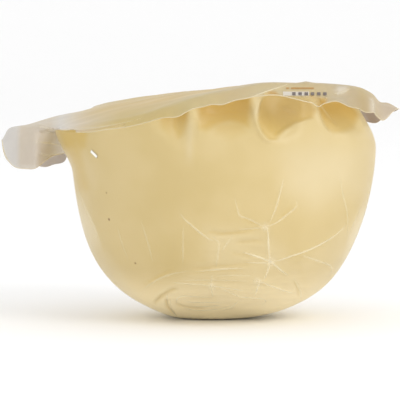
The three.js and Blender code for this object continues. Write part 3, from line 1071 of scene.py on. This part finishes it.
# %% Film finishes
LID_TONES = [
    (-72, (208, 206, 197)), (-66.5, (205, 201, 189)), (-64.5, (199, 186, 159)), (-54, (200, 187, 161)),
    (-50, (206, 201, 190)), (-42, (202, 186, 156)), (-28, (191, 170, 110)), (-14, (191, 171, 114)),
    (-5, (192, 176, 130)), (5, (192, 177, 138)), (12, (190, 175, 142)), (20, (190, 177, 146)),
    (40, (186, 170, 136)), (50, (178, 164, 128)), (58, (180, 158, 94)), (66, (198, 182, 150)),
]
INSIDE_TONES = [
    (-72, (192, 184, 188)), (-48, (188, 180, 182)), (-36, (182, 162, 112)), (40, (182, 162, 112)),
    (52, (168, 152, 150)), (72, (162, 146, 148)),
]
STRAW_FIELD = colour(198, 172, 112)
STRAW_FIELD_MIDDLE = 5 * MM
STRAW_FIELD_EDGE = (30 * MM, 60 * MM)
PALE_FILM_AND_HIGHLIGHT, TAN_SHADE_FILM = colour(232, 230, 224), colour(178, 142, 84)


def film_finish(name, tone, haze, rim, roughness, gloss=0.6, milky=False, lid=False):
    """Film of one tone, or with the lid's tones along its length and its marked patches."""
    made = Finish(name)
    place = made.node("ShaderNodeTexCoord", out=3)
    if lid:
        x = made.node("ShaderNodeSeparateXYZ", {}, {0: place})
        y = made.node("ShaderNodeSeparateXYZ", {}, {0: place}, out=1)
        first, last = tone[0][0], tone[-1][0]
        stops = [((at - first) / (last - first), colour(*rgb)) for at, rgb in tone]
        along = (x - first * MM) / ((last - first) * MM)
        tone = made.node("ShaderNodeValToRGB", {"stops": stops}, {0: along})
        away = ((x - STRAW_FIELD_MIDDLE) ** 2.0 + y**2.0) ** 0.5
        tone = made.blend(1.0 - made.step(away, *STRAW_FIELD_EDGE), tone, STRAW_FIELD)
        pale = made.marked("pale")
        tan = made.marked("tan")
        # pale: crease whitening, painted highlights and painted light on the tucked leaf
        tone = made.blend(pale * 0.8, tone, PALE_FILM_AND_HIGHLIGHT)
        # painted shade in the tan patches
        tone = made.blend(tan * 0.9, tone, TAN_SHADE_FILM)
    clouds = made.node("ShaderNodeTexNoise", {}, {"Vector": place, "Scale": 90.0, "Detail": 2.0})
    grazing = made.node("ShaderNodeLayerWeight", {}, {"Blend": 0.35}, out=1)
    share = grazing**2.0 * rim + haze * (0.8 + 0.4 * clouds)
    if lid:
        share = share * (1.0 - 0.8 * made.marked("clear"))
    if milky:
        share = share + made.marked("milky")
    film = made.node(
        "ShaderNodeBsdfPrincipled",
        {},
        {"Base Color": tone, "Roughness": roughness + 0.1 * clouds, "Specular IOR Level": gloss},
    )
    clear = made.node("ShaderNodeBsdfTransparent")
    made.end(made.node("ShaderNodeMixShader", {}, {0: share, 1: clear, 2: film}))
    return made


film_finish("clinging_film", MILK_AND_SHEEN, 0.05, 0.06, 0.35, milky=True).wear(skin)
film_finish("pleat_film", colour(232, 222, 192), 0.0, 0.0, 0.25, milky=True).wear(pleats, seams)
film_finish("glint_film", colour(248, 246, 238), 0.0, 0.0, 0.3, milky=True).wear(glint)
film_finish("edge_film", colour(214, 200, 168), 0.45, 0.1, 0.25).wear(cut_edge)
film_finish("orange_ink", colour(184, 140, 72), 0.55, 0.0, 0.4).wear(orange_print)
film_finish("pale_ink", colour(212, 205, 192), 0.7, 0.0, 0.4).wear(strip_print)
film_finish("dark_ink", colour(112, 101, 98), 0.65, 0.0, 0.4).wear(dark_print)
outer = film_finish("lid_film", LID_TONES, 0.6, 0.3, 0.3, gloss=0.12, lid=True)
inner = film_finish("lid_film_inside", INSIDE_TONES, 0.8, 0.2, 0.35, gloss=0.3, lid=True)
lid.data.materials[0] = outer.material
lid.data.materials[1] = inner.material
for film in (skin, pleats, lid, cut_edge, seams):
    film.visible_shadow = False
    film.visible_diffuse = False
print("film finishes", [m.name for m in bpy.data.materials if "film" in m.name])

# %% [markdown]
# ## Floor and light
# A pale sweep stands behind the object, and the light is soft from all round. A large lamp at the
# upper right in front gives the broad gloss, a wide one on the right lights that side, and a weak one
# low in front keeps the bottom bright.

# %% Floor and light
FLOOR_SIZE = 6
SWEEP_HEIGHT = 3
SWEEP_BEND = 1.2
LAMPS = [
    # name, place, width, watts
    ("key", (0.9, -0.9, 0.8), 0.8, 5),
    ("side_lamp", (1.3, -0.35, 0.2), 1.8, 3.2),
    ("low_fill", (-0.6, -1.2, 0.1), 1.2, 2.4),
]
bpy.ops.mesh.primitive_plane_add(size=FLOOR_SIZE, location=(0, 0, 0))
floor = bpy.context.object
floor.name = "floor"


def rear_edges():
    """True for each edge of the floor on the ground at its rear."""
    ends = [[floor.data.vertices[v].co for v in edge.vertices] for edge in floor.data.edges]
    return [all(end.y > 0 and end.z < 0.1 for end in pair) for pair in ends]


pick(floor, "EDGE", rear_edges())
bpy.ops.mesh.extrude_region_move(TRANSFORM_OT_translate={"value": (0, 0, SWEEP_HEIGHT)})
bpy.ops.object.mode_set(mode="OBJECT")
pick(floor, "EDGE", rear_edges())
bpy.ops.mesh.bevel(offset=SWEEP_BEND, segments=16, affect="EDGES")
bpy.ops.object.mode_set(mode="OBJECT")
bpy.ops.object.shade_smooth()
pale = Finish("pale_floor")
pale.end(pale.node("ShaderNodeBsdfPrincipled", {}, {"Base Color": colour(250, 250, 250), "Roughness": 0.9}))
pale.wear(floor)

world = bpy.data.worlds.new("soft_light")
bpy.context.scene.world = world
world.use_nodes = True
world.node_tree.nodes["Background"].inputs["Color"].default_value = (1, 1, 1, 1)
world.node_tree.nodes["Background"].inputs["Strength"].default_value = 1.0
for name, place, width, watts in LAMPS:
    bpy.ops.object.light_add(type="AREA", location=place)
    lamp = bpy.context.object
    lamp.name = name
    lamp.data.shape = "DISK"
    lamp.data.size = width
    lamp.data.energy = watts
    lamp.rotation_mode = "QUATERNION"
    lamp.rotation_quaternion = (Vector(EYE_TARGET) - Vector(place)).to_track_quat("-Z", "Y")
bpy.context.scene.view_settings.view_transform = "Standard"

# %% [markdown]
# ## Hand over
# Each piece rides on the one body and stands for its solid, which is hidden.

# %% Hand over
PIECES = [
    (cheese, "scamorza", "cheese"),
    (skin, "scamorza", "film"),
    (pleats, "scamorza", "film"),
    (glint, "scamorza", "film"),
    (lid, "pack_film", "film"),
    (cut_edge, "pack_film", "film"),
    (seams, "pack_film", "film"),
    (orange_print, "pack_film", "film"),
    (strip_print, "pack_film", "film"),
    (dark_print, "pack_film", "film"),
]
for piece, node, slot in PIECES:
    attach(piece, "root")
    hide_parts(node)
    print(piece.name, triangles(piece), "triangles")
